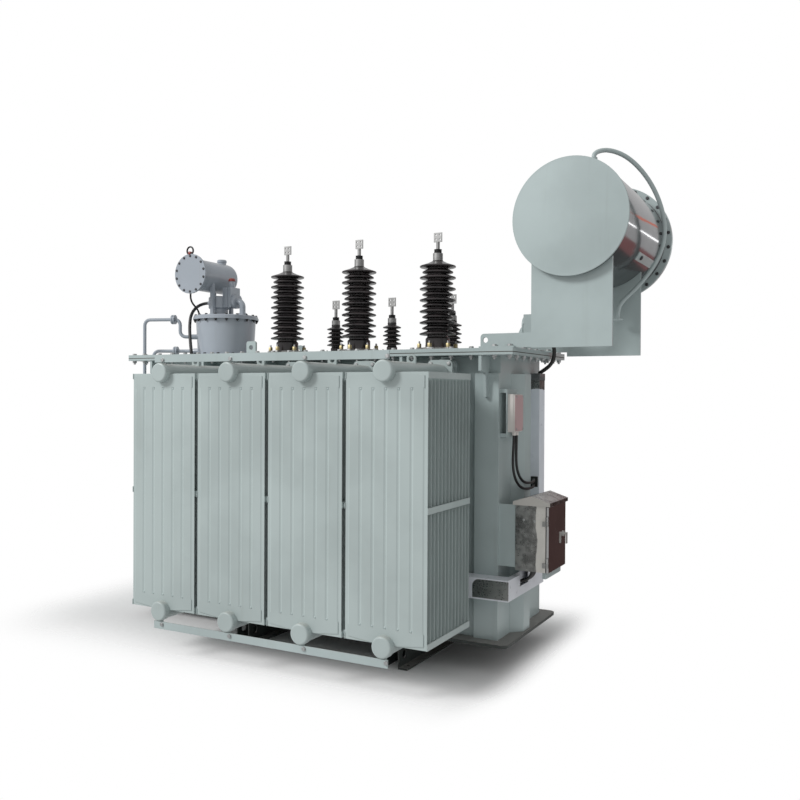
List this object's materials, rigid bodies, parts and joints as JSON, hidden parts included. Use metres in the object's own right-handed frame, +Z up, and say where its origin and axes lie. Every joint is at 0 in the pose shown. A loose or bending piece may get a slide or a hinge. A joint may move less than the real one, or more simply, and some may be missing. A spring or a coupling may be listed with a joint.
{
  "type": "power transformer",
  "caption": "Oil-filled power transformer on skids with finned panel radiators, shedded bushings, tap changer drum, end conservator and a hinged control cabinet.",
  "frame": {"origin": "on the ground, midway between the skids and on the tank's middle plane", "axes": "+X along the tank towards the conservator, +Y to the rear, +Z up; the HV bushings are on the -Y side"},
  "size_m": [4.0049, 2.5006, 3.187],
  "materials": {
    "grey_green_paint": "semi-gloss enamel",
    "dark_paint": "satin enamel",
    "brown_porcelain": "gloss glaze",
    "tinned_metal": "satin",
    "blue_grey_paint": "semi-gloss enamel",
    "bright_barrel": "bright rolled",
    "stainless_steel": "mill finish",
    "zinc_lock": "plated",
    "black_rubber": "matt"
  },
  "bodies": {
    "transformer": {"skid_left": "dark_paint", "skid_right": "dark_paint", "base_plate": "dark_paint", "tank_shell": "grey_green_paint", "tank_ribs": "grey_green_paint", "tank_flange": "grey_green_paint", "flange_gussets": "grey_green_paint", "cover_plate": "grey_green_paint", "lifting_lugs": "grey_green_paint", "radiator_front_1": "grey_green_paint", "radiator_front_2": "grey_green_paint", "radiator_front_3": "grey_green_paint", "radiator_front_4": "grey_green_paint", "radiator_rear_1": "grey_green_paint", "radiator_rear_2": "grey_green_paint", "radiator_rear_3": "grey_green_paint", "valves_front": "grey_green_paint", "valves_rear": "grey_green_paint", "tie_bars_front": "grey_green_paint", "tie_bars_rear": "grey_green_paint", "hv_bushing_1": "brown_porcelain", "hv_bushing_2": "brown_porcelain", "hv_bushing_3": "brown_porcelain", "hv_clamp_rings": "tinned_metal", "hv_terminals": "tinned_metal", "lv_bushing_1": "brown_porcelain", "lv_bushing_2": "brown_porcelain", "lv_bushing_3": "brown_porcelain", "lv_clamp_rings": "tinned_metal", "lv_terminals": "tinned_metal", "tap_drum": "blue_grey_paint", "tap_head_cover": "blue_grey_paint", "tap_gear_head": "blue_grey_paint", "tap_flow_relay": "blue_grey_paint", "tap_conservator": "blue_grey_paint", "tap_conservator_cover": "blue_grey_paint", "tap_conservator_legs": "blue_grey_paint", "tap_cables": "black_rubber", "tap_oil_pipes": "blue_grey_paint", "conservator_barrel": "bright_barrel", "conservator_front_end": "grey_green_paint", "conservator_rear_cover": "grey_green_paint", "saddle_front_bracket": "grey_green_paint", "saddle_rear_bracket": "grey_green_paint", "breather_pipe": "grey_green_paint", "gas_relay": "grey_green_paint", "cabinet_shell": "stainless_steel", "cabinet_roof": "stainless_steel", "cabinet_brackets": "grey_green_paint", "terminal_box": "grey_green_paint", "terminal_box_bracket": "grey_green_paint", "vertical_trunking": "stainless_steel", "lower_tray": "stainless_steel", "control_cables": "black_rubber"},
    "cabinet_door": {"cabinet_door": "stainless_steel", "door_lock": "zinc_lock"}
  },
  "joints": [
    {"name": "cabinet_door_hinge", "type": "hinge", "parent": "transformer", "child": "cabinet_door", "pos_m": [1.482, -0.3985, 0.83], "axis": [0, 0, -1], "range_deg": [0, 110]}
  ]
}
